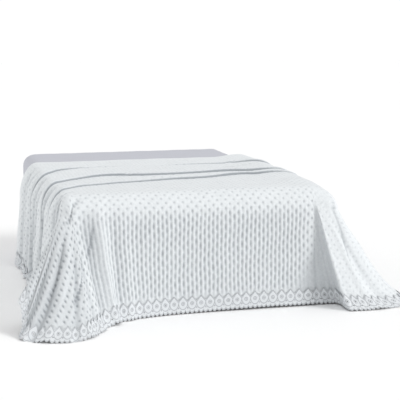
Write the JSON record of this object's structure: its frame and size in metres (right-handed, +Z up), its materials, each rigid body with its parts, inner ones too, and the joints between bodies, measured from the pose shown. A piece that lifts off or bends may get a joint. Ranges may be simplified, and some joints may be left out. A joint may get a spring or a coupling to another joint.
{
  "type": "matelasse coverlet on a bed",
  "caption": "White matelasse quilted coverlet with a lace border, draped to the floor over a plain divan bed with its corners fanned out.",
  "frame": {"origin": "middle of the bed base's underside, on the floor", "axes": "+Z up, +Y from the foot of the bed to its head, +X to the right seen from the foot"},
  "size_m": [2.2619, 2.4464, 0.6904],
  "materials": {
    "quilted_cloth": "matte",
    "lace": "matte",
    "sheet_cloth": "matte",
    "base_cloth": "matte"
  },
  "bodies": {
    "root": {"coverlet": "quilted_cloth", "lace_left": "lace", "lace_foot": "lace", "lace_right": "lace", "mattress": "sheet_cloth", "bed_base": "base_cloth"}
  },
  "joints": []
}
